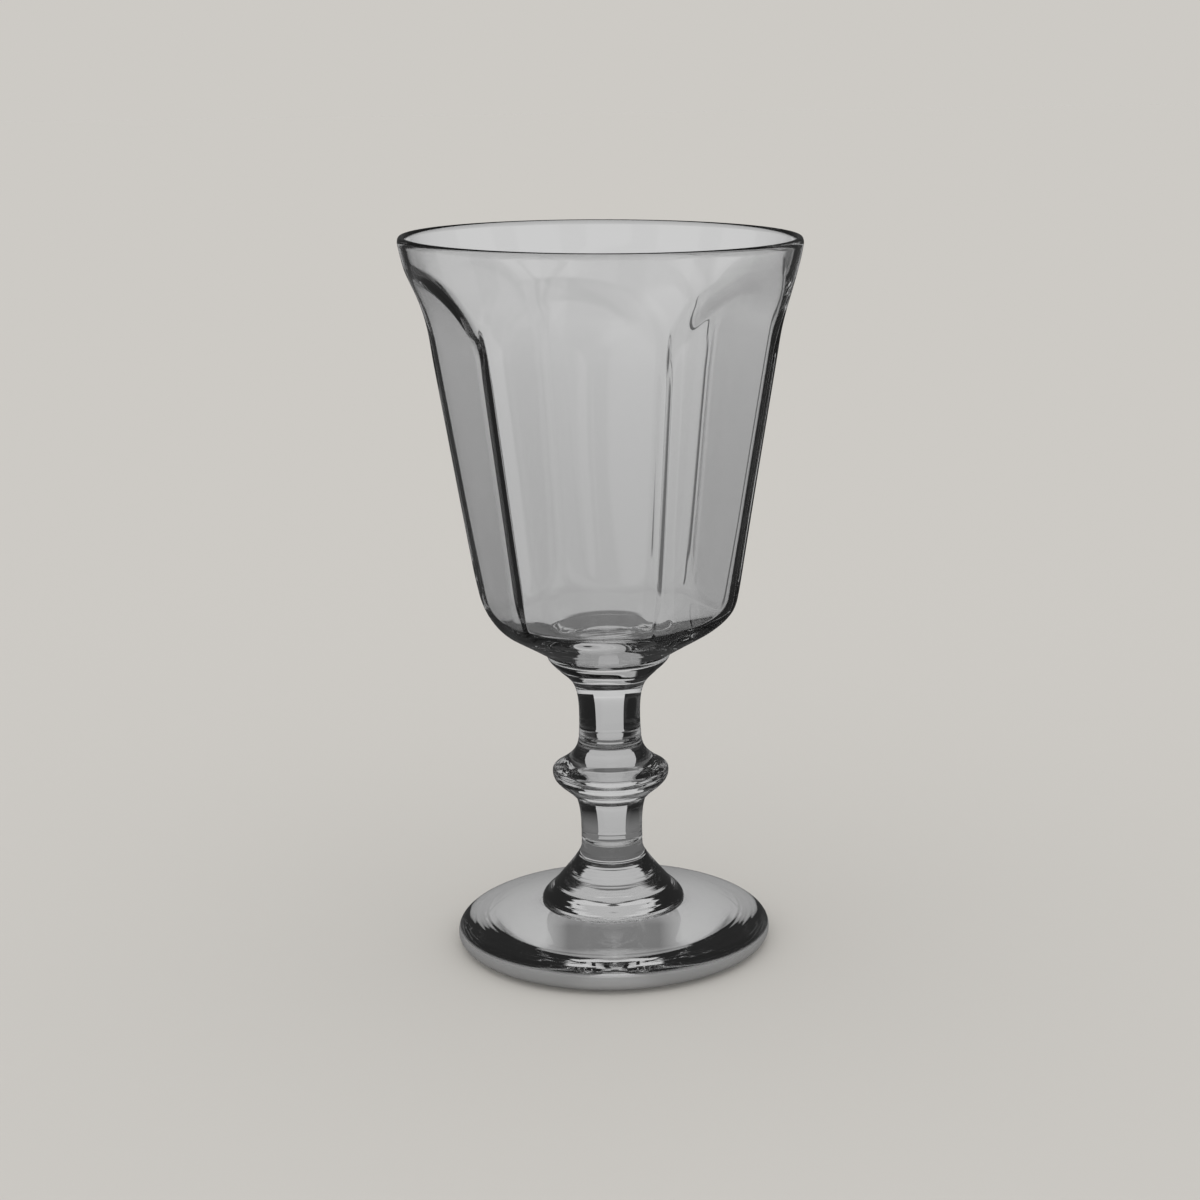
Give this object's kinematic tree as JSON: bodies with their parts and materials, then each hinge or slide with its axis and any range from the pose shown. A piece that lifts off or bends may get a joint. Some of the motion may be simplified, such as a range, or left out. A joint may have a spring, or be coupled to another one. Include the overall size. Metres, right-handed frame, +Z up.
{
  "type": "goblet",
  "caption": "Footed drinking goblet in clear glass: panelled bowl with arched panel tops and a flared rim, on a knopped stem with a bell base and a thick round foot.",
  "frame": {"origin": "centre of the surface that the foot stands on", "axes": "+Z up along the stem and bowl, -Y out of one of the bowl's flat panels, towards the front"},
  "size_m": [0.087, 0.087, 0.16],
  "materials": {
    "clear_glass": "fire-polished clear glass with a faint grey cast"
  },
  "bodies": {
    "root": {"foot": "clear_glass", "stem_base": "clear_glass", "lower_stem": "clear_glass", "knop": "clear_glass", "upper_stem": "clear_glass", "merese": "clear_glass", "bowl": "clear_glass"}
  },
  "joints": []
}
